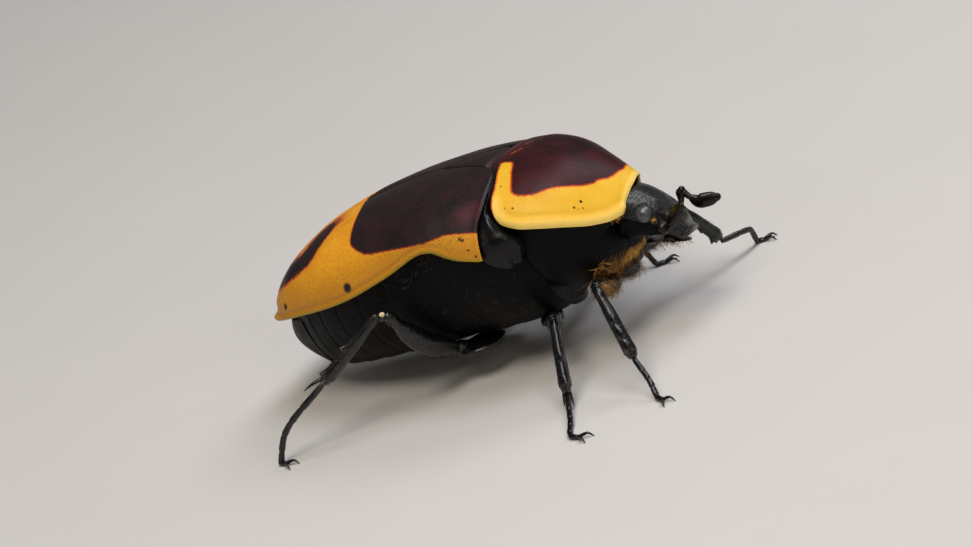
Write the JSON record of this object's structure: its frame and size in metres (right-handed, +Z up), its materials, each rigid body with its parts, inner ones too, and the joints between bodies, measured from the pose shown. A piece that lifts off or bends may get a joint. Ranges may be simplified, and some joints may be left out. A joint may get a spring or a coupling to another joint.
{
  "type": "sun beetle",
  "caption": "Life-size still model of a sun beetle with glossy maroon and yellow wing cases and shield, black head and legs, standing on its feet.",
  "frame": {"origin": "on the floor, under the middle of the whole beetle's outline", "axes": "+X forward through the head, +Y to the beetle's left, +Z up; the feet stand on z = 0"},
  "size_m": [0.026, 0.0228, 0.0109],
  "materials": {
    "wing_case": "glossy maroon cuticle with a wide yellow border",
    "black_cuticle": "glossy black, finely punctured",
    "leg_cuticle": "glossy black, finely wrinkled",
    "eye": "smooth dark grey sheen",
    "feeler": "glossy dark brown"
  },
  "bodies": {
    "root": {"abdomen": "black_cuticle", "antenna_left": "feeler", "antenna_right": "feeler", "coxa_fore_left": "leg_cuticle", "coxa_fore_right": "leg_cuticle", "coxa_hind_left": "leg_cuticle", "coxa_hind_right": "leg_cuticle", "coxa_mid_left": "leg_cuticle", "coxa_mid_right": "leg_cuticle", "elytron_left": "wing_case", "elytron_right": "wing_case", "eye_left": "eye", "eye_right": "eye", "femur_fore_left": "leg_cuticle", "femur_fore_right": "leg_cuticle", "femur_hind_left": "leg_cuticle", "femur_hind_right": "leg_cuticle", "femur_mid_left": "leg_cuticle", "femur_mid_right": "leg_cuticle", "head": "black_cuticle", "mesepimeron_left": "black_cuticle", "mesepimeron_right": "black_cuticle", "mouthparts": "black_cuticle", "pronotum": "wing_case", "prothorax": "black_cuticle", "pygidium": "black_cuticle", "scutellum": "wing_case", "tarsus_fore_left": "leg_cuticle", "tarsus_fore_right": "leg_cuticle", "tarsus_hind_left": "leg_cuticle", "tarsus_hind_right": "leg_cuticle", "tarsus_mid_left": "leg_cuticle", "tarsus_mid_right": "leg_cuticle", "thorax": "black_cuticle", "tibia_fore_left": "leg_cuticle", "tibia_fore_right": "leg_cuticle", "tibia_hind_left": "leg_cuticle", "tibia_hind_right": "leg_cuticle", "tibia_mid_left": "leg_cuticle", "tibia_mid_right": "leg_cuticle"}
  },
  "joints": []
}
